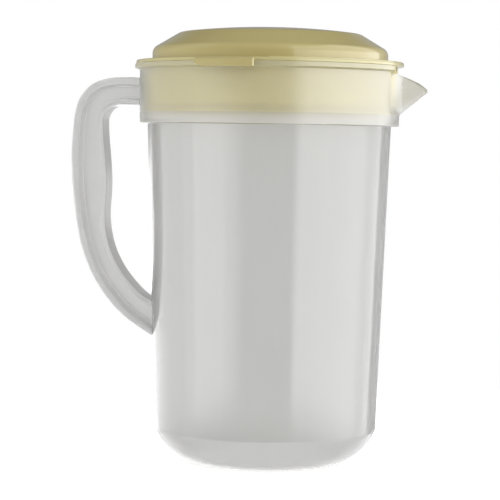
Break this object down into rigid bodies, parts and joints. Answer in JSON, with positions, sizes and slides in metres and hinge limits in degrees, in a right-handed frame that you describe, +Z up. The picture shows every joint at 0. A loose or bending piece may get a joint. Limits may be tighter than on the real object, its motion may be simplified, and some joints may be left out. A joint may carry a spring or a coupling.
{
  "type": "covered pitcher",
  "caption": "Tall translucent plastic pitcher with a side handle, a small beak spout and a domed lid that turns between closed, strain and pour, and lifts off.",
  "frame": {"origin": "middle of the flat underside that the pitcher stands on", "axes": "+Z up along the pitcher's axis, +X towards the spout's tip, -X towards the handle"},
  "size_m": [0.2219, 0.1743, 0.2708],
  "materials": {
    "frosted_plastic": "milky translucent polypropylene, glossy outside",
    "lid_plastic": "opaque straw-yellow plastic, smooth satin gloss",
    "seal_rubber": "soft pale elastomer"
  },
  "bodies": {
    "jug": {"jug_body": "frosted_plastic", "handle": "frosted_plastic"},
    "lid_ring": {"lid_seal": "seal_rubber"},
    "lid": {"lid": "lid_plastic"}
  },
  "joints": [
    {"name": "lid_lift", "type": "slide", "parent": "jug", "child": "lid_ring", "axis": [0, 0, 1], "range_m": [0, 0.1]},
    {"name": "lid_turn", "type": "hinge", "parent": "lid_ring", "child": "lid", "pos_m": [0, 0, 0.2471], "axis": [0, 0, 1], "continuous": true}
  ]
}
